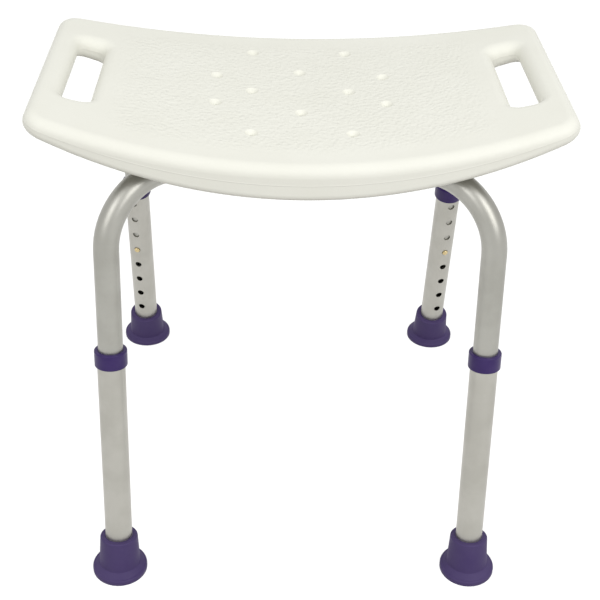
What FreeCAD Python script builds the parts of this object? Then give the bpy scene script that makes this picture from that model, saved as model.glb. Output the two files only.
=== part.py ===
import FreeCAD, Part
import math
import os

# Shower stool. Millimetres, +Z up. The origin is on the floor, midway between the four feet.
# X runs along the width of the seat, and -Y is the front. Left and right are the viewer's.

# Driving dimensions of the frame
foot_spread_x = 190.0        # from the middle to a foot, along the seat's width
foot_spread_y = 212.0        # from the middle to a foot, front to back
leg_lean = 9.9               # degrees that a leg leans in towards the middle, front to back
bar_height = 433.0           # centreline of the crossing bars
bend_radius = 70.0           # centreline radius of the bend between a leg and its bar
upper_tube_diameter = 25.4
upper_tube_wall = 1.2
joggle_gap = 0.6             # between the two bars where they cross
joggle_angle = 38.0          # slope of the bar that dips under the other
joggle_radius = 50.0
joggle_half_length = 28.0    # from the crossing to the dipped bar's lower corner

# Driving dimensions of a leg
telescope_gap = 0.39         # radial, between the upper tube and the lower leg
lower_tube_wall = 1.2
lower_tube_length = 252.0
hole_count = 8
hole_pitch = 25.4
hole_diameter = 7.9
button_hole = 3              # which hole the button stands in, counted down from 0
first_hole_drop = 8.5        # from the collar's lower edge to the first hole
hole_turn = 15.0             # degrees that the row of holes is turned outwards
upper_tube_tail = 20.0       # upper tube left below the button
collar_height = 17.5
collar_lip = 3.5
collar_wall = 2.4
collar_rounding = 1.2
running_gap = 0.08           # radial, between the collar's lip and the upper tube
seat_gap = 0.05              # radial, in joints that are pushed together and stay

# Driving dimensions of a foot
foot_height = 42.0           # along the leg, from the floor to the top of the cuff
foot_cuff_wall = 5.7         # at the top of the cuff
foot_cuff_taper = 2.2        # how much wider, on the radius, the cuff is where it starts
foot_cuff_start = 5.0        # where the cuff starts inside the base, along the leg
foot_flange = 9.3            # how far the base stands out past the top of the cuff
foot_base_height = 6.0       # of the base's upright rim
foot_flare_height = 7.0      # from the rim's top up to the base's peak, inside the cuff
foot_floor = 11.0            # rubber under the disc, along the leg
foot_disc_thickness = 2.0
foot_rounding = 2.5
foot_lip_rounding = 1.8
foot_groove_width = 3.0
foot_groove_depth = 1.6
foot_groove_count = 3

# Driving dimensions of a snap button and its spring
button_diameter = 7.0
button_reach = 2.0           # how far it stands out of the lower leg
button_rounding = 2.0
spring_strip = 0.6
spring_width = 7.5
spring_length = 44.0         # from the button up to the spring's bend
spring_bend = 3.0            # inner radius
spring_tail = 7.0            # strip left below the button

# Driving dimensions of the seat
seat_width = 524.0           # halfway back
seat_taper = 20.0            # how much wider the front is than the rear
seat_end_depth = 241.0       # front to back, at the ends
seat_front_bow = 35.5        # how far the front edge bows out
seat_rear_bow = 16.5
seat_corner = 24.0
seat_middle_thickness = 37.0
seat_rise = 33.4             # how much higher the top is at the ends
channel_depth = 13.0         # how deep the bars lie in the seat at its middle
channel_gap = 0.3
seat_wall = 2.8
seat_top_rounding = 11.0
seat_bottom_rounding = 7.5
seat_end_flat = 1.5          # upright band between the two roundings at the ends
grip_length = 128.0
grip_width = 28.0
grip_corner = 9.0
grip_set_back = 4.0          # how far a hand grip's middle is behind the middle of the seat
grip_land = 4.0              # between the roundings of a hand grip and of the seat's end
grip_top_rounding = 12.0
grip_bottom_rounding = 8.0
drain_diameter = 5.5
drain_rim_diameter = 13.5
drain_rim_depth = 4.5
drain_step_x = 49.3
drain_step_y = 44.3
drain_outer_x = 85.8
drain_outer_y = 30.0

# Driving dimensions of the fasteners
screw_diameter = 6.0
screw_head_diameter = 11.0
screw_head_height = 3.6
screw_radius_from_middle = 130.0
screw_hole_gap = 0.5
screw_recess_length = 6.6
screw_recess_width = 1.4
screw_recess_depth = 2.0
insert_diameter = 9.0
insert_length = 14.0
insert_cover = 1.0           # plastic between the channel and an insert
boss_wall = 3.5
saddle_diameter = 17.0
saddle_thickness = 2.4       # under the lowest point of the tube

LEGS = {
    "front_left": (-1, -1),
    "front_right": (1, -1),
    "rear_left": (-1, 1),
    "rear_right": (1, 1),
}
UP = FreeCAD.Vector(0, 0, 1)
tolerance = 0.01             # for picking out edges by where they lie

# Derived sizes
lean = math.radians(leg_lean)
upper_outer = upper_tube_diameter / 2
upper_inner = upper_outer - upper_tube_wall
lower_inner = upper_outer + telescope_gap
lower_outer = lower_inner + lower_tube_wall
tube_bottom = foot_floor + foot_disc_thickness
tube_top = tube_bottom + lower_tube_length
collar_top = tube_top + collar_lip
collar_bottom = collar_top - collar_height
button_height = collar_bottom - first_hole_drop - button_hole * hole_pitch
upper_tube_end = button_height - upper_tube_tail
joggle_drop = upper_tube_diameter + joggle_gap

bar_corner_x = foot_spread_x
bar_corner_y = foot_spread_y - bar_height * math.tan(lean)
bar_turn = math.atan2(bar_corner_y, bar_corner_x)

seat_under_middle = bar_height + upper_outer + channel_gap - channel_depth
seat_top_middle = seat_under_middle + seat_middle_thickness
seat_end_thickness = seat_top_rounding + seat_bottom_rounding + seat_end_flat
seat_under_rise = seat_rise + seat_middle_thickness - seat_end_thickness
seat_half = seat_width / 2
seat_floor = seat_under_middle - seat_rise               # below the whole seat
seat_headroom = 3 * seat_rise + seat_middle_thickness     # from there to above the whole seat
seat_end_turn = math.atan2(seat_taper / 2, seat_end_depth)   # of each end, and its hand grip
grip_rail = seat_top_rounding + grip_top_rounding + grip_land
grip_reach = grip_rail + grip_width / 2                  # from the end to the grip's middle
grip_middle = seat_half - grip_set_back * math.tan(seat_end_turn) - grip_reach
crossing = FreeCAD.Vector(0, 0, bar_height)


def arc_radius(half_chord, height):
    """Radius of the arc that rises by height over twice half_chord."""
    return (half_chord**2 + height**2) / (2 * height)


def leg_point(name, along):
    """The point on a leg's axis at this distance from the floor, measured along the leg."""
    side, end = LEGS[name]
    foot = FreeCAD.Vector(side * foot_spread_x, end * foot_spread_y, 0)
    return foot + leg_axis(name) * along


def leg_axis(name):
    end = LEGS[name][1]
    return FreeCAD.Vector(0, -end * math.sin(lean), math.cos(lean))


def hole_axis(name):
    """Which way a leg's holes face: inwards front to back, and turned a little outwards."""
    side, end = LEGS[name]
    turn = math.radians(hole_turn)
    level = FreeCAD.Vector(side * math.sin(turn), -end * math.cos(turn), 0)
    axis = leg_axis(name)
    return (level - axis * level.dot(axis)).normalize()


def rod(radius, start, axis, length):
    return Part.makeCylinder(radius, length, start, axis)


def rounded(shape, radius, wanted):
    """Rounds the edges for which wanted(edge) is true."""
    return shape.makeFillet(radius, [edge for edge in shape.Edges if wanted(edge)])


def middle_of(edge):
    return edge.valueAt((edge.FirstParameter + edge.LastParameter) / 2)


def is_upright(edge):
    return abs(edge.tangentAt(edge.FirstParameter).z) > 1 - tolerance


def bent_rod(points, bends, radius):
    """A round rod along straight runs, with a bend of its own radius at each inner point."""
    pieces = []
    start = points[0]
    for before, corner, after, bend in zip(points, points[1:], points[2:], bends):
        inward = (corner - before).normalize()
        outward = (after - corner).normalize()
        turn = inward.getAngle(outward)
        setback = bend * math.tan(turn / 2)
        arc_start = corner - inward * setback
        pieces.append(rod(radius, start, inward, start.distanceToPoint(arc_start)))
        hinge = inward.cross(outward).normalize()
        centre = arc_start + hinge.cross(inward) * bend
        circle = Part.Face(Part.Wire(Part.makeCircle(radius, arc_start, inward)))
        pieces.append(circle.revolve(centre, hinge, math.degrees(turn)))
        start = corner + outward * setback
    last = (points[-1] - points[-2]).normalize()
    pieces.append(rod(radius, start, last, start.distanceToPoint(points[-1])))
    return pieces[0].multiFuse(pieces[1:]).removeSplitter()


def bar_path(first, dipped):
    """Centreline points and bend radii of the tube from one front leg to the opposite rear leg."""
    second = {"front_left": "rear_right", "front_right": "rear_left"}[first]
    side, end = LEGS[first]
    level = FreeCAD.Vector(side * math.cos(bar_turn), end * math.sin(bar_turn), 0)
    corner = bar_height / math.cos(lean)
    points = [leg_point(first, upper_tube_end), leg_point(first, corner)]
    bends = [bend_radius]
    if dipped:
        run = joggle_drop / math.tan(math.radians(joggle_angle))
        low, high = bar_height - joggle_drop, bar_height
        for reach, height in (
            (joggle_half_length + run, high),
            (joggle_half_length, low),
            (-joggle_half_length, low),
            (-joggle_half_length - run, high),
        ):
            points.append(level * reach + UP * height)
            bends.append(joggle_radius)
    points += [leg_point(second, corner), leg_point(second, upper_tube_end)]
    bends.append(bend_radius)
    return points, bends


def screw_places():
    """Where the four seat screws stand, on the bars."""
    places = []
    for side, end in LEGS.values():
        x = side * screw_radius_from_middle * math.cos(bar_turn)
        y = end * screw_radius_from_middle * math.sin(bar_turn)
        places.append(FreeCAD.Vector(x, y, bar_height))
    return places


def cross_tube(first, dipped):
    """One bent tube: two legs and the bar between them, drilled for its screws and buttons."""
    points, bends = bar_path(first, dipped)
    tube = bent_rod(points, bends, upper_outer).cut(bent_rod(points, bends, upper_inner))
    drills = []
    for name in LEGS:
        start = leg_point(name, button_height)
        drills.append(rod(hole_diameter / 2, start, hole_axis(name), upper_tube_diameter))
    screw_hole = screw_diameter / 2 + screw_hole_gap
    for place in screw_places() + [crossing]:
        low = place - UP * 2 * upper_tube_diameter
        drills.append(rod(screw_hole, low, UP, 4 * upper_tube_diameter))
    return tube.cut(Part.makeCompound(drills))


def lower_leg(name):
    axis = leg_axis(name)
    start = leg_point(name, tube_bottom)
    tube = rod(lower_outer, start, axis, lower_tube_length)
    tube = tube.cut(rod(lower_inner, start, axis, lower_tube_length))
    for number in range(hole_count):
        place = leg_point(name, collar_bottom - first_hole_drop - number * hole_pitch)
        tube = tube.cut(rod(hole_diameter / 2, place, hole_axis(name), 2 * lower_outer))
    return tube


def collar(name):
    """A ring over the top of the lower leg, with a lip that guides the upper tube."""
    axis = leg_axis(name)
    start = leg_point(name, collar_bottom)
    outer = lower_outer + seat_gap + collar_wall
    ring = rod(outer, start, axis, collar_height)
    ring = rounded(ring, collar_rounding, lambda edge: edge.Closed)
    ring = ring.cut(rod(lower_outer + seat_gap, start, axis, collar_height - collar_lip))
    return ring.cut(rod(upper_outer + running_gap, start, axis, collar_height))


def foot_tip(name):
    """A rubber tip: a level base with a sloping top, and a cuff that leans with the leg."""
    axis = leg_axis(name)
    foot = leg_point(name, 0)
    cuff = lower_outer + seat_gap + foot_cuff_wall
    base_radius = cuff + foot_flange
    base = rod(base_radius, foot, UP, foot_base_height)
    base = rounded(base, foot_rounding, lambda edge: edge.Closed and middle_of(edge).z > 0)
    slope_start = base_radius - foot_rounding
    slope_foot = foot + UP * foot_base_height
    slope = Part.makeCone(slope_start, cuff - foot_cuff_wall / 2, foot_flare_height, slope_foot)
    start = leg_point(name, foot_cuff_start)
    sleeve_length = foot_height - foot_cuff_start
    sleeve = Part.makeCone(cuff + foot_cuff_taper, cuff, sleeve_length, start, axis)
    top = leg_point(name, foot_height)
    sleeve = rounded(
        sleeve,
        foot_lip_rounding,
        lambda edge: edge.Closed and abs((middle_of(edge) - top).dot(axis)) < tolerance,
    )
    tip = base.multiFuse([slope, sleeve]).removeSplitter()
    socket = rod(lower_outer + seat_gap, leg_point(name, foot_floor), axis, foot_height)
    tip = tip.cut(socket)
    for number in range(foot_groove_count):
        inner = (number + 1) * base_radius / (foot_groove_count + 1) - foot_groove_width / 2
        groove = rod(inner + foot_groove_width, foot, UP, foot_groove_depth)
        tip = tip.cut(groove.cut(rod(inner, foot, UP, foot_groove_depth)))
    return tip


def foot_disc(name):
    start = leg_point(name, foot_floor)
    return rod(lower_outer, start, leg_axis(name), foot_disc_thickness)


def leaf_face():
    """How far the outer face of the button's spring leaf stands from the leg's axis."""
    return math.sqrt(upper_inner**2 - (spring_width / 2) ** 2) - seat_gap


def snap_button(name):
    """A round stud with a domed end, from the spring's leaf out through both tubes."""
    axis = hole_axis(name)
    start = leg_point(name, button_height) + axis * leaf_face()
    length = lower_outer + button_reach - leaf_face()
    stud = rod(button_diameter / 2, start, axis, length)
    tip = start + axis * length
    return rounded(
        stud,
        button_rounding,
        lambda edge: edge.Closed and edge.CenterOfMass.distanceToPoint(tip) < button_rounding,
    )


def button_spring(name):
    """A strip bent into a V inside the upper tube. Its bend is above the button."""
    outer = spring_bend + spring_strip
    reach = leaf_face() - spring_strip
    back = -spring_width / 2
    ring = rod(outer, FreeCAD.Vector(0, 0, back), UP, spring_width)
    ring = ring.cut(rod(spring_bend, FreeCAD.Vector(0, 0, back), UP, spring_width))
    drop = spring_length + spring_tail
    splay = math.atan2(reach - spring_bend, drop)
    lower_half = FreeCAD.Vector(-outer, -2 * outer, back)
    pieces = [ring.cut(Part.makeBox(2 * outer, 2 * outer, spring_width, lower_half))]
    for side in (-1, 1):
        arm_corner = FreeCAD.Vector(spring_bend, -drop, back)
        arm = Part.makeBox(spring_strip, drop, spring_width, arm_corner)
        arm.rotate(FreeCAD.Vector(spring_bend, 0, 0), UP, math.degrees(splay))
        if side < 0:
            arm = arm.mirror(FreeCAD.Vector(0, 0, 0), FreeCAD.Vector(1, 0, 0))
        pieces.append(arm)
    strip = pieces[0].multiFuse(pieces[1:]).removeSplitter()
    across = hole_axis(name)
    along = leg_axis(name)
    flat = across.cross(along)
    place = leg_point(name, button_height + spring_length)
    strip.transformShape(
        FreeCAD.Matrix(
            across.x, along.x, flat.x, place.x,
            across.y, along.y, flat.y, place.y,
            across.z, along.z, flat.z, place.z,
            0, 0, 0, 1,
        ),
        True,
    )
    return strip


def seat_plan(inset):
    """The seat seen from above, with sharp corners, moved in by inset all round."""
    corners = []
    apexes = []
    for end, bow in ((-1, seat_front_bow), (1, seat_rear_bow)):
        width = seat_width - end * seat_taper / 2
        y = end * seat_end_depth / 2
        for side in (end, -end):
            corners.append(FreeCAD.Vector(side * width / 2, y, seat_floor))
        apexes.append(FreeCAD.Vector(0, y + end * bow, seat_floor))
    front = Part.Arc(corners[0], apexes[0], corners[1]).toShape()
    right = Part.makeLine(corners[1], corners[2])
    rear = Part.Arc(corners[2], apexes[1], corners[3]).toShape()
    left = Part.makeLine(corners[3], corners[0])
    plan = Part.Face(Part.Wire([front, right, rear, left]))
    return plan.makeOffset2D(-inset, 2) if inset else plan


def seat_blank(inset):
    """The seat's outer form, or the same form moved in by inset on every side."""
    prism = seat_plan(inset).extrude(UP * seat_headroom)
    prism = rounded(prism, seat_corner - inset, is_upright)

    across = FreeCAD.Vector(0, 1, 0)
    under_radius = arc_radius(seat_half, seat_under_rise)
    top_radius = arc_radius(seat_half, seat_rise)
    reach = 2 * seat_half
    under_centre = FreeCAD.Vector(0, -reach, seat_under_middle + under_radius)
    top_centre = FreeCAD.Vector(0, -reach, seat_top_middle + top_radius)
    blank = prism.common(rod(under_radius - inset, under_centre, across, 2 * reach))
    blank = blank.cut(rod(top_radius + inset, top_centre, across, 2 * reach))

    def on_top(edge):
        point = middle_of(edge)
        return abs(math.hypot(point.x, point.z - top_centre.z) - top_radius - inset) < tolerance

    def on_under(edge):
        point = middle_of(edge)
        return abs(math.hypot(point.x, point.z - under_centre.z) - under_radius + inset) < tolerance

    blank = rounded(blank, seat_top_rounding - inset, on_top)
    return rounded(blank, seat_bottom_rounding - inset, on_under)


def grip_prism(side, extra):
    """The upright prism of a hand grip's slot, made larger all round by extra."""
    width = grip_width + 2 * extra
    length = grip_length + 2 * extra
    prism = Part.makeBox(width, length, seat_headroom, FreeCAD.Vector(-width / 2, -length / 2, 0))
    prism = rounded(prism, grip_corner + extra, is_upright)
    prism.rotate(FreeCAD.Vector(0, 0, 0), UP, side * math.degrees(seat_end_turn))
    prism.translate(FreeCAD.Vector(side * grip_middle, grip_set_back, seat_floor))
    return prism


def drain_places():
    """The twelve drain holes, the same on both sides of both middle lines."""
    quarter = (
        (0, drain_step_y),
        (drain_step_x, 0),
        (drain_step_x, 2 * drain_step_y),
        (drain_outer_x, drain_outer_y),
    )
    places = {(side * x, end * y) for x, y in quarter for side in (-1, 1) for end in (-1, 1)}
    return sorted(places)


def sagged_height(x, middle_height, rise):
    """Height at x of a surface that is lowest at the seat's middle and rises by rise to its ends."""
    radius = arc_radius(seat_half, rise)
    return middle_height + radius - math.sqrt(radius**2 - x**2)


def seat_top_at(x):
    return sagged_height(x, seat_top_middle, seat_rise)


def seat_under_at(x):
    return sagged_height(x, seat_under_middle, seat_under_rise)


def insert_bottom():
    return bar_height + upper_outer + channel_gap + insert_cover


def seat():
    """A hollow moulding: one skin all round, with posts round every hole and insert."""
    body = seat_blank(0)
    for side in (-1, 1):
        body = body.cut(grip_prism(side, 0))
        for radius, height_at in (
            (grip_top_rounding, seat_top_at),
            (grip_bottom_rounding, seat_under_at),
        ):
            body = rounded(body, radius, lambda edge: is_grip_rim(edge, side, height_at))

    hollow = seat_blank(seat_wall)
    for side in (-1, 1):
        hollow = hollow.cut(grip_prism(side, grip_top_rounding))
    posts = []
    drills = []
    drain_flare = (drain_rim_diameter - drain_diameter) / 2
    for x, y in drain_places():
        low = FreeCAD.Vector(x, y, seat_floor)
        posts.append(rod(drain_rim_diameter / 2, low, UP, seat_headroom))
        drills.append(rod(drain_diameter / 2, low, UP, seat_headroom))
        rim = FreeCAD.Vector(x, y, seat_top_at(x) - drain_rim_depth)
        wide = drain_rim_diameter / 2 + drain_flare
        drills.append(Part.makeCone(drain_diameter / 2, wide, 2 * drain_rim_depth, rim))
    pocket = insert_diameter / 2 + seat_gap
    for place in screw_places() + [crossing]:
        low = FreeCAD.Vector(place.x, place.y, seat_floor)
        posts.append(rod(pocket + boss_wall, low, UP, seat_headroom))
        drills.append(rod(screw_diameter / 2 + screw_hole_gap, place, UP, insert_bottom() - bar_height))
        start = FreeCAD.Vector(place.x, place.y, insert_bottom())
        drills.append(rod(pocket, start, UP, insert_length))
    for first in ("front_left", "front_right"):
        points, bends = bar_path(first, dipped=False)
        drills.append(bent_rod(points, bends, upper_outer + channel_gap))
        posts.append(bent_rod(points, bends, upper_outer + channel_gap + seat_wall))
    hollow = hollow.cut(Part.makeCompound(posts[:-2])).cut(posts[-2]).cut(posts[-1])
    body = body.cut(hollow)
    for drill in drills:
        body = body.cut(drill)
    return body


def is_grip_rim(edge, side, height_at):
    """Whether an edge runs round a hand grip's slot, on the surface with these heights."""
    point = middle_of(edge)
    from_grip = math.hypot(point.x - side * grip_middle, point.y - grip_set_back)
    on_surface = abs(point.z - height_at(point.x)) < tolerance
    return on_surface and from_grip < grip_length / 2 + tolerance


def seat_inserts():
    """Threaded metal bushes moulded into the seat, one over each screw."""
    bushes = []
    for place in screw_places() + [crossing]:
        start = FreeCAD.Vector(place.x, place.y, insert_bottom())
        bush = rod(insert_diameter / 2, start, UP, insert_length)
        bushes.append(bush.cut(rod(screw_diameter / 2 + seat_gap, start, UP, insert_length)))
    return Part.makeCompound(bushes)


def screw(place, under):
    """A pan-head screw from below. under is the height of its head's seat."""
    head = FreeCAD.Vector(place.x, place.y, under - screw_head_height)
    top = insert_bottom() + insert_length
    shape = rod(screw_head_diameter / 2, head, UP, screw_head_height)
    low_rim = head.z + screw_head_height / 2
    shape = rounded(shape, screw_head_height / 2, lambda e: e.Closed and middle_of(e).z < low_rim)
    shape = shape.fuse(rod(screw_diameter / 2, head, UP, top - head.z)).removeSplitter()
    for turn in (0, 90):
        corner = FreeCAD.Vector(-screw_recess_length / 2, -screw_recess_width / 2, 0)
        slot = Part.makeBox(screw_recess_length, screw_recess_width, screw_recess_depth, corner)
        slot.rotate(FreeCAD.Vector(0, 0, 0), UP, turn)
        slot.translate(head)
        shape = shape.cut(slot)
    return shape


def seat_screws():
    under = bar_height - upper_outer - saddle_thickness
    return Part.makeCompound([screw(place, under) for place in screw_places()])


def centre_bolt():
    under = bar_height - joggle_drop - upper_outer - saddle_thickness
    return screw(crossing, under)


def saddle(place, turn):
    """A washer with a hollow top that fits the round tube over it."""
    bottom = FreeCAD.Vector(place.x, place.y, place.z - upper_outer - saddle_thickness)
    block = rod(saddle_diameter / 2, bottom, UP, saddle_thickness + upper_outer / 2)
    along = FreeCAD.Vector(math.cos(turn), math.sin(turn), 0)
    start = place - along * saddle_diameter
    block = block.cut(rod(upper_outer + seat_gap, start, along, 2 * saddle_diameter))
    return block.cut(rod(screw_diameter / 2 + screw_hole_gap, bottom, UP, upper_tube_diameter))


def saddle_washers():
    pieces = []
    for place, (side, end) in zip(screw_places(), LEGS.values()):
        pieces.append(saddle(place, side * end * bar_turn))
    pieces.append(saddle(crossing - UP * joggle_drop, -bar_turn))
    return Part.makeCompound(pieces)


def write(name, shape):
    shape.exportStep(os.path.join("parts", name + ".step"))


os.makedirs("parts", exist_ok=True)
write("seat", seat())
write("seat_inserts", seat_inserts())
write("cross_tube_straight", cross_tube("front_left", dipped=False))
write("cross_tube_dipped", cross_tube("front_right", dipped=True))
write("seat_screws", seat_screws())
write("centre_bolt", centre_bolt())
write("saddle_washers", saddle_washers())
for leg in LEGS:
    write("lower_leg_" + leg, lower_leg(leg))
    write("collar_" + leg, collar(leg))
    write("foot_tip_" + leg, foot_tip(leg))
    write("foot_disc_" + leg, foot_disc(leg))
    write("snap_button_" + leg, snap_button(leg))
    write("button_spring_" + leg, button_spring(leg))
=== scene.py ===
import math

import bmesh
import bpy
from mathutils import Matrix, Vector


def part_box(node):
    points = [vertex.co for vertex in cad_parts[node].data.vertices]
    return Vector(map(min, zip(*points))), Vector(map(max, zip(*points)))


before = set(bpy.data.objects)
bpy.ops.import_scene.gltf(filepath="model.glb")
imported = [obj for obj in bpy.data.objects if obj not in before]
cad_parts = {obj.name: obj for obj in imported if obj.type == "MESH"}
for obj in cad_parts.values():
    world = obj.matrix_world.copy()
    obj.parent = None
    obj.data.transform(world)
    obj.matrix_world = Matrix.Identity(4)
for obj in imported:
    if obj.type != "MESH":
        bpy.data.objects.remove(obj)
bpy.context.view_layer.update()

# Crossed tubes ---------------------------------------------------------------------------
# Two bent one-inch aluminium tubes that cross under the seat. Each is drawn, bent on a
# mandrel, bead blasted and anodised, so it has a soft satin skin with faint drawing lines.

NOISE_LOW = 0.3             # most of a noise's values lie between these two
NOISE_HIGH = 0.7


def new_material(name, metallic=0.0):
    """A material with one Principled shader, and its node tree and that shader."""
    material = bpy.data.materials.new(name)
    material.use_nodes = True
    tree = material.node_tree
    shader = tree.nodes["Principled BSDF"]
    shader.inputs["Metallic"].default_value = metallic
    return material, tree, shader


def object_coordinates(tree, scale=(1.0, 1.0, 1.0), turn=(0.0, 0.0, 0.0)):
    """The piece's own coordinates in metres, turned and then stretched."""
    place = tree.nodes.new("ShaderNodeTexCoord")
    turned = tree.nodes.new("ShaderNodeMapping")
    turned.inputs["Rotation"].default_value = turn
    stretched = tree.nodes.new("ShaderNodeMapping")
    stretched.inputs["Scale"].default_value = scale
    tree.links.new(place.outputs["Object"], turned.inputs["Vector"])
    tree.links.new(turned.outputs["Vector"], stretched.inputs["Vector"])
    return stretched.outputs["Vector"]


def noise(tree, vector, scale, detail=3.0, roughness=0.5):
    node = tree.nodes.new("ShaderNodeTexNoise")
    node.inputs["Scale"].default_value = scale
    node.inputs["Detail"].default_value = detail
    node.inputs["Roughness"].default_value = roughness
    tree.links.new(vector, node.inputs["Vector"])
    return node.outputs["Fac"]


def spread(tree, value, low, high, out_low=0.0, out_high=1.0, smooth=False):
    """value from low to high, carried over to out_low to out_high."""
    node = tree.nodes.new("ShaderNodeMapRange")
    node.interpolation_type = "SMOOTHSTEP" if smooth else "LINEAR"
    node.inputs["From Min"].default_value = low
    node.inputs["From Max"].default_value = high
    node.inputs["To Min"].default_value = out_low
    node.inputs["To Max"].default_value = out_high
    tree.links.new(value, node.inputs["Value"])
    return node.outputs["Result"]


def combine(tree, kind, first, second=0.0):
    node = tree.nodes.new("ShaderNodeMath")
    node.operation = kind
    for socket, value in zip(node.inputs, (first, second)):
        if isinstance(value, (int, float)):
            socket.default_value = value
        else:
            tree.links.new(value, socket)
    return node.outputs["Value"]


def two_tone(tree, amount, first, second, shader):
    """Base colour from first to second as amount goes from 0 to 1."""
    node = tree.nodes.new("ShaderNodeMix")
    node.data_type = "RGBA"
    node.inputs["A"].default_value = (*first, 1.0)
    node.inputs["B"].default_value = (*second, 1.0)
    tree.links.new(amount, node.inputs["Factor"])
    tree.links.new(node.outputs["Result"], shader.inputs["Base Color"])


def shine(tree, value, smoothest, dullest, shader, low=NOISE_LOW, high=NOISE_HIGH):
    """Roughness from smoothest to dullest as value goes from low to high."""
    tree.links.new(spread(tree, value, low, high, smoothest, dullest), shader.inputs["Roughness"])


def bumps(tree, height, depth, shader, under=None):
    """Relief of that depth in metres, over the relief in under if it is given."""
    node = tree.nodes.new("ShaderNodeBump")
    node.inputs["Strength"].default_value = 1.0
    node.inputs["Distance"].default_value = depth
    tree.links.new(height, node.inputs["Height"])
    if under:
        tree.links.new(under, node.inputs["Normal"])
    tree.links.new(node.outputs["Normal"], shader.inputs["Normal"])
    return node.outputs["Normal"]


def satin_aluminium(name, colour, dull, lean=0.0):
    """Anodised tube. The drawing lines run along a leg that leans by lean."""
    material, tree, shader = new_material(name, metallic=1.0)
    along = object_coordinates(tree, (1.0, 1.0, 0.02), (lean, 0.0, 0.0))
    plain = object_coordinates(tree)
    lines = noise(tree, along, 1500.0, 2.0)
    blotches = noise(tree, plain, 35.0, 4.0)
    grain = noise(tree, plain, 2600.0, 2.0)
    mixed = combine(tree, "ADD", combine(tree, "MULTIPLY", lines, 0.5), blotches)
    shine(tree, mixed, 0.34, 0.46, shader, 0.4, 1.1)
    two_tone(tree, spread(tree, blotches, 0.35, 0.65), colour, dull, shader)
    fine = bumps(tree, grain, 0.00002, shader)
    bumps(tree, lines, 0.000008, shader, fine)
    return material


def finish(node, material):
    """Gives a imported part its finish."""
    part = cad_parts[node]
    part.data.materials.clear()
    part.data.materials.append(material)


bent_tube_finish = satin_aluminium("bent_tube_finish", (0.38, 0.375, 0.345), (0.345, 0.34, 0.31))
for tube in ("cross_tube_straight", "cross_tube_dipped"):
    finish(tube, bent_tube_finish)

# Seat screws, centre bolt and saddle washers -----------------------------------------------
# Zinc plated pan-head screws come up from below, each through a moulded nylon saddle that
# fits the round tube. The longest one goes through both tubes where they cross.

zinc_finish, tree, shader = new_material("zinc_finish", metallic=1.0)
plating = noise(tree, object_coordinates(tree), 900.0, 4.0)
shine(tree, plating, 0.22, 0.42, shader)
two_tone(tree, plating, (0.58, 0.59, 0.61), (0.68, 0.68, 0.67), shader)
bumps(tree, plating, 0.00002, shader)
finish("seat_screws", zinc_finish)
finish("centre_bolt", zinc_finish)

nylon_finish, tree, shader = new_material("nylon_finish")
shader.inputs["Roughness"].default_value = 0.5
speckle = noise(tree, object_coordinates(tree), 700.0, 3.0)
two_tone(tree, speckle, (0.75, 0.75, 0.70), (0.80, 0.80, 0.77), shader)
bumps(tree, speckle, 0.00004, shader)
finish("saddle_washers", nylon_finish)

# Seat --------------------------------------------------------------------------------------
# One hollow blow moulding in white polyethylene, with turned brass bushes moulded in. The
# middle of its top has a pebbled non-slip grain from the mould, and the borders and the hand
# grips are left smooth.

SEAT_HALF_WIDTH = 0.262
FRONT_BOW = 0.0355          # how far the ends of the front edge lie behind its middle
REAR_BOW = 0.0165           # and those of the rear edge in front of its middle
SEAM_MIDDLE = 0.4515        # height of the mould's parting line at the middle of the seat
SEAM_RISE = 0.042           # how much higher it is at the ends
SEAM_RELIEF = 0.00015
PEBBLES_PER_METRE = 250.0
PEBBLE_RELIEF = 0.0009
PEBBLE_WAVER = 0.003        # how far the pebbles are pushed out of their even spacing
BORDER_START = 0.018        # the pebbles fade in between these distances from a long edge
BORDER_END = 0.045
GRIP_START = 0.165          # and out between these distances from the seat's middle
GRIP_END = 0.200
seat_low, seat_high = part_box("seat")


def split_axes(tree, vector):
    node = tree.nodes.new("ShaderNodeSeparateXYZ")
    tree.links.new(vector, node.inputs["Vector"])
    return node.outputs


def pebbled_area(tree, axes, across, bowed, upwards):
    """1 in the middle of the seat's top, fading to 0 at its borders and before its grips."""
    front_edge = combine(tree, "ADD", combine(tree, "MULTIPLY", bowed, FRONT_BOW), seat_low[1])
    rear_edge = combine(tree, "ADD", combine(tree, "MULTIPLY", bowed, -REAR_BOW), seat_high[1])
    from_front = combine(tree, "SUBTRACT", axes["Y"], front_edge)
    from_rear = combine(tree, "SUBTRACT", rear_edge, axes["Y"])
    from_edge = combine(tree, "MINIMUM", from_front, from_rear)
    inside = spread(tree, from_edge, BORDER_START, BORDER_END, smooth=True)
    middle = spread(tree, across, GRIP_START, GRIP_END, 1.0, 0.0, smooth=True)
    on_top = spread(tree, upwards, 0.80, 0.93, smooth=True)
    return combine(tree, "MULTIPLY", combine(tree, "MULTIPLY", inside, middle), on_top)


def pebble_heights(tree, place):
    """Soft round grains, close together and not quite evenly spaced."""
    waver = tree.nodes.new("ShaderNodeTexNoise")
    waver.inputs["Scale"].default_value = 160.0
    waver.inputs["Detail"].default_value = 2.0
    tree.links.new(place, waver.inputs["Vector"])
    shift = tree.nodes.new("ShaderNodeVectorMath")
    shift.operation = "MULTIPLY_ADD"
    tree.links.new(waver.outputs["Color"], shift.inputs[0])
    shift.inputs[1].default_value = (PEBBLE_WAVER, PEBBLE_WAVER, PEBBLE_WAVER)
    tree.links.new(place, shift.inputs[2])
    pebbles = tree.nodes.new("ShaderNodeTexVoronoi")
    pebbles.feature = "SMOOTH_F1"
    pebbles.inputs["Scale"].default_value = PEBBLES_PER_METRE
    pebbles.inputs["Smoothness"].default_value = 0.6
    tree.links.new(shift.outputs["Vector"], pebbles.inputs["Vector"])
    return combine(tree, "SUBTRACT", 1.0, pebbles.outputs["Distance"])


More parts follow.
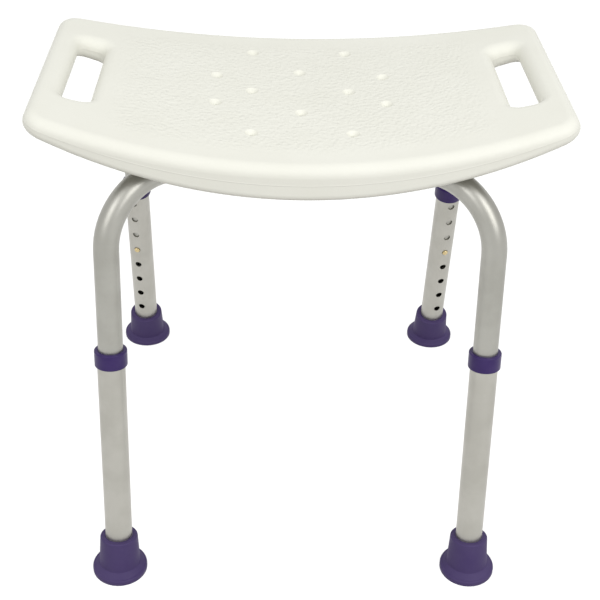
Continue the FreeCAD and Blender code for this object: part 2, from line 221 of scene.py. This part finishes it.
def parting_line(tree, axes, bowed, upwards):
    """1 on the fine line that the mould left along the seat's sides, and 0 beside it."""
    seam_height = combine(tree, "ADD", combine(tree, "MULTIPLY", bowed, SEAM_RISE), SEAM_MIDDLE)
    above = combine(tree, "SUBTRACT", axes["Z"], seam_height)
    from_seam = combine(tree, "ABSOLUTE", above)
    near = spread(tree, from_seam, 0.0002, 0.0009, 1.0, 0.0, smooth=True)
    level = combine(tree, "ABSOLUTE", upwards)
    on_side = spread(tree, level, 0.3, 0.5, 1.0, 0.0, smooth=True)
    return combine(tree, "MULTIPLY", near, on_side)


seat_finish, tree, shader = new_material("seat_finish")
shader.inputs["Specular IOR Level"].default_value = 0.3
place = object_coordinates(tree)
axes = split_axes(tree, place)
facing = tree.nodes.new("ShaderNodeNewGeometry")
upwards = split_axes(tree, facing.outputs["Normal"])["Z"]
across = combine(tree, "ABSOLUTE", axes["X"])
bowed = combine(tree, "POWER", combine(tree, "DIVIDE", across, SEAT_HALF_WIDTH), 2.0)
pebbled = pebbled_area(tree, axes, across, bowed, upwards)
pebble_height = combine(tree, "MULTIPLY", pebble_heights(tree, place), pebbled)
peel = noise(tree, place, 420.0, 3.0)
cloud = noise(tree, place, 14.0, 4.0)
fine_relief = bumps(tree, peel, 0.00004, shader)
pebbled_relief = bumps(tree, pebble_height, PEBBLE_RELIEF, shader, fine_relief)
bumps(tree, parting_line(tree, axes, bowed, upwards), SEAM_RELIEF, shader, pebbled_relief)
clouding = spread(tree, cloud, NOISE_LOW, NOISE_HIGH)
two_tone(tree, clouding, (0.835, 0.832, 0.755), (0.86, 0.858, 0.785), shader)
smooth_gloss = spread(tree, peel, NOISE_LOW, NOISE_HIGH, 0.42, 0.52)
gloss = combine(tree, "ADD", smooth_gloss, combine(tree, "MULTIPLY", pebbled, 0.1))
tree.links.new(gloss, shader.inputs["Roughness"])
finish("seat", seat_finish)

turned_brass, tree, shader = new_material("turned_brass", metallic=1.0)
shader.inputs["Base Color"].default_value = (0.70, 0.55, 0.30, 1.0)
turning = noise(tree, object_coordinates(tree, (1.0, 1.0, 8.0)), 500.0, 2.0)
shine(tree, turning, 0.2, 0.4, shader)
bumps(tree, turning, 0.00003, shader)
finish("seat_inserts", turned_brass)

# Lower legs --------------------------------------------------------------------------------
# Larger aluminium tubes that slide over the ends of the bent ones. They are extruded,
# punched with a row of eight holes for the snap button, and anodised like the bent tubes.

LEG_LEAN = math.radians(9.9)
LEGS = {"front_left": -1, "front_right": -1, "rear_left": 1, "rear_right": 1}   # -1 leans forward

for leg, end in LEGS.items():
    # Painted light: the same anodised aluminium as the bent tubes, but its base colour is set
    # lighter (0.43 against 0.38) to stand in for the brighter light that falls on the lower legs.
    lower_leg_finish = satin_aluminium(
        "lower_leg_finish_" + leg, (0.43, 0.42, 0.385), (0.395, 0.385, 0.35), end * LEG_LEAN
    )
    finish("lower_leg_" + leg, lower_leg_finish)

# Collars -----------------------------------------------------------------------------------
# A purple ring pressed over the top of each lower leg. It is injection moulded with a
# guiding lip, and its skin is smooth with a soft shine.

collar_finish, tree, shader = new_material("collar_finish")
shader.inputs["Specular IOR Level"].default_value = 0.25
place = object_coordinates(tree)
mottle = noise(tree, place, 60.0, 3.0)
skin = noise(tree, place, 1400.0, 2.0)
mottling = spread(tree, mottle, 0.35, 0.65)
two_tone(tree, mottling, (0.034, 0.016, 0.105), (0.044, 0.024, 0.120), shader)
shine(tree, skin, 0.33, 0.45, shader)
bumps(tree, skin, 0.00003, shader)
for leg in LEGS:
    finish("collar_" + leg, collar_finish)

# Feet --------------------------------------------------------------------------------------
# A purple rubber tip pushed over each lower leg. A wide level base stands under a cuff that
# leans with the leg. It is moulded, dull, and a little dusty. A steel disc lies inside.

rubber_finish, tree, shader = new_material("rubber_finish")
shader.inputs["Specular IOR Level"].default_value = 0.25
place = object_coordinates(tree)
bloom = noise(tree, place, 45.0, 5.0)
pores = noise(tree, place, 1800.0, 2.0)
dusting = spread(tree, bloom, NOISE_LOW, NOISE_HIGH)
two_tone(tree, dusting, (0.056, 0.036, 0.124), (0.072, 0.050, 0.142), shader)
shine(tree, bloom, 0.5, 0.68, shader)
bumps(tree, pores, 0.00006, shader)
for leg in LEGS:
    finish("foot_tip_" + leg, rubber_finish)
    finish("foot_disc_" + leg, zinc_finish)

# Snap buttons and their springs --------------------------------------------------------------
# A brass stud on one arm of a V of spring steel, inside each bent tube's end. The stud comes
# out through both tubes and holds the leg at its height.

button_finish, tree, shader = new_material("button_finish", metallic=1.0)
place = object_coordinates(tree)
rub = noise(tree, place, 1200.0, 4.0)
rubbing = spread(tree, rub, 0.35, 0.65)
two_tone(tree, rubbing, (0.46, 0.35, 0.16), (0.66, 0.55, 0.33), shader)
shine(tree, rub, 0.18, 0.38, shader)
bumps(tree, rub, 0.00003, shader)

spring_finish, tree, shader = new_material("spring_finish", metallic=1.0)
shader.inputs["Base Color"].default_value = (0.45, 0.46, 0.48, 1.0)
rolled = noise(tree, object_coordinates(tree, (1.0, 1.0, 0.05)), 1500.0, 2.0)
shine(tree, rolled, 0.22, 0.4, shader)
bumps(tree, rolled, 0.00002, shader)
for leg in LEGS:
    finish("snap_button_" + leg, button_finish)
    finish("button_spring_" + leg, spring_finish)

# Floor, light and camera ---------------------------------------------------------------------
# A plain white floor in an even white room. It lets the room's white through from below, so a
# leg that is let out past it still shows. Two large soft lamps stand before the stool, one on
# each side, and the right one is the stronger.

FLOOR_HALF_WIDTH = 12.0
ROOM_SHARE = 0.82           # how much of the room's white comes through the floor
LAMP_WIDTH = 1.2
LAMP_AIM = Vector((0.0, 0.0, 0.35))

floor_shape = bmesh.new()
bmesh.ops.create_grid(floor_shape, x_segments=1, y_segments=1, size=FLOOR_HALF_WIDTH)
floor_mesh = bpy.data.meshes.new("floor")
floor_shape.to_mesh(floor_mesh)
floor_shape.free()
floor = bpy.data.objects.new("floor", floor_mesh)
bpy.context.scene.collection.objects.link(floor)


def seen_directly(tree):
    """1 for what the camera sees, straight or in a mirror or glass, and 0 for other light."""
    path = tree.nodes.new("ShaderNodeLightPath")
    seen = combine(tree, "ADD", path.outputs["Is Camera Ray"], path.outputs["Is Glossy Ray"])
    seen = combine(tree, "ADD", seen, path.outputs["Is Transmission Ray"])
    seen.node.use_clamp = True
    return seen


floor_finish = bpy.data.materials.new("floor_finish")
floor_finish.use_nodes = True
tree = floor_finish.node_tree
tree.nodes.clear()
matt = tree.nodes.new("ShaderNodeBsdfDiffuse")
matt.inputs["Color"].default_value = (0.38, 0.37, 0.36, 1.0)
pale = tree.nodes.new("ShaderNodeBsdfDiffuse")
pale.inputs["Color"].default_value = (0.36, 0.36, 0.36, 1.0)
clear = tree.nodes.new("ShaderNodeBsdfTransparent")
clear.inputs["Color"].default_value = (ROOM_SHARE, ROOM_SHARE, ROOM_SHARE, 1.0)
lit = tree.nodes.new("ShaderNodeAddShader")
tree.links.new(pale.outputs["BSDF"], lit.inputs[0])
tree.links.new(clear.outputs["BSDF"], lit.inputs[1])
which = tree.nodes.new("ShaderNodeMixShader")
tree.links.new(seen_directly(tree), which.inputs["Fac"])
tree.links.new(matt.outputs["BSDF"], which.inputs[1])
tree.links.new(lit.outputs["Shader"], which.inputs[2])
output = tree.nodes.new("ShaderNodeOutputMaterial")
tree.links.new(which.outputs["Shader"], output.inputs["Surface"])
floor_mesh.materials.append(floor_finish)

world = bpy.data.worlds.new("white_room")
bpy.context.scene.world = world
world.use_nodes = True
tree = world.node_tree
background = tree.nodes["Background"]
background.inputs["Color"].default_value = (1.0, 1.0, 0.99, 1.0)
room_level = spread(tree, seen_directly(tree), 0.0, 1.0, 0.7, 1.0)
tree.links.new(room_level, background.inputs["Strength"])

for name, place, watts in (
    ("lamp_left", (-1.15, -1.45, 1.65), 9.8),
    ("lamp_right", (1.2, -1.45, 1.75), 19.2),
):
    lamp = bpy.data.lights.new(name, "AREA")
    lamp.shape = "SQUARE"
    lamp.size = LAMP_WIDTH
    lamp.energy = watts
    holder = bpy.data.objects.new(name, lamp)
    holder.location = place
    aim = (LAMP_AIM - holder.location).to_track_quat("-Z", "Y")
    holder.rotation_euler = aim.to_euler()
    bpy.context.scene.collection.objects.link(holder)

CAMERA_PLACE = Vector((-0.041, -1.251, 1.108))
CAMERA_DOWN = math.radians(35.71)
CAMERA_YAW = math.radians(2.15)
CAMERA_ROLL = math.radians(-1.71)
CAMERA_LENS = 81.36

camera = bpy.data.cameras.new("camera")
camera.sensor_width = 36.0
camera.lens = CAMERA_LENS
camera.clip_start = 0.05
camera_holder = bpy.data.objects.new("camera", camera)
forward = Vector(
    (
        math.sin(CAMERA_YAW) * math.cos(CAMERA_DOWN),
        math.cos(CAMERA_YAW) * math.cos(CAMERA_DOWN),
        -math.sin(CAMERA_DOWN),
    )
)
level = Vector((math.cos(CAMERA_YAW), -math.sin(CAMERA_YAW), 0.0))
downward = forward.cross(level)
right = math.cos(CAMERA_ROLL) * level + math.sin(CAMERA_ROLL) * downward
down = -math.sin(CAMERA_ROLL) * level + math.cos(CAMERA_ROLL) * downward
turned = Matrix((right, -down, -forward)).transposed().to_4x4()
camera_holder.matrix_world = Matrix.Translation(CAMERA_PLACE) @ turned
bpy.context.scene.collection.objects.link(camera_holder)
bpy.context.scene.camera = camera_holder
bpy.context.scene.view_settings.view_transform = "Standard"
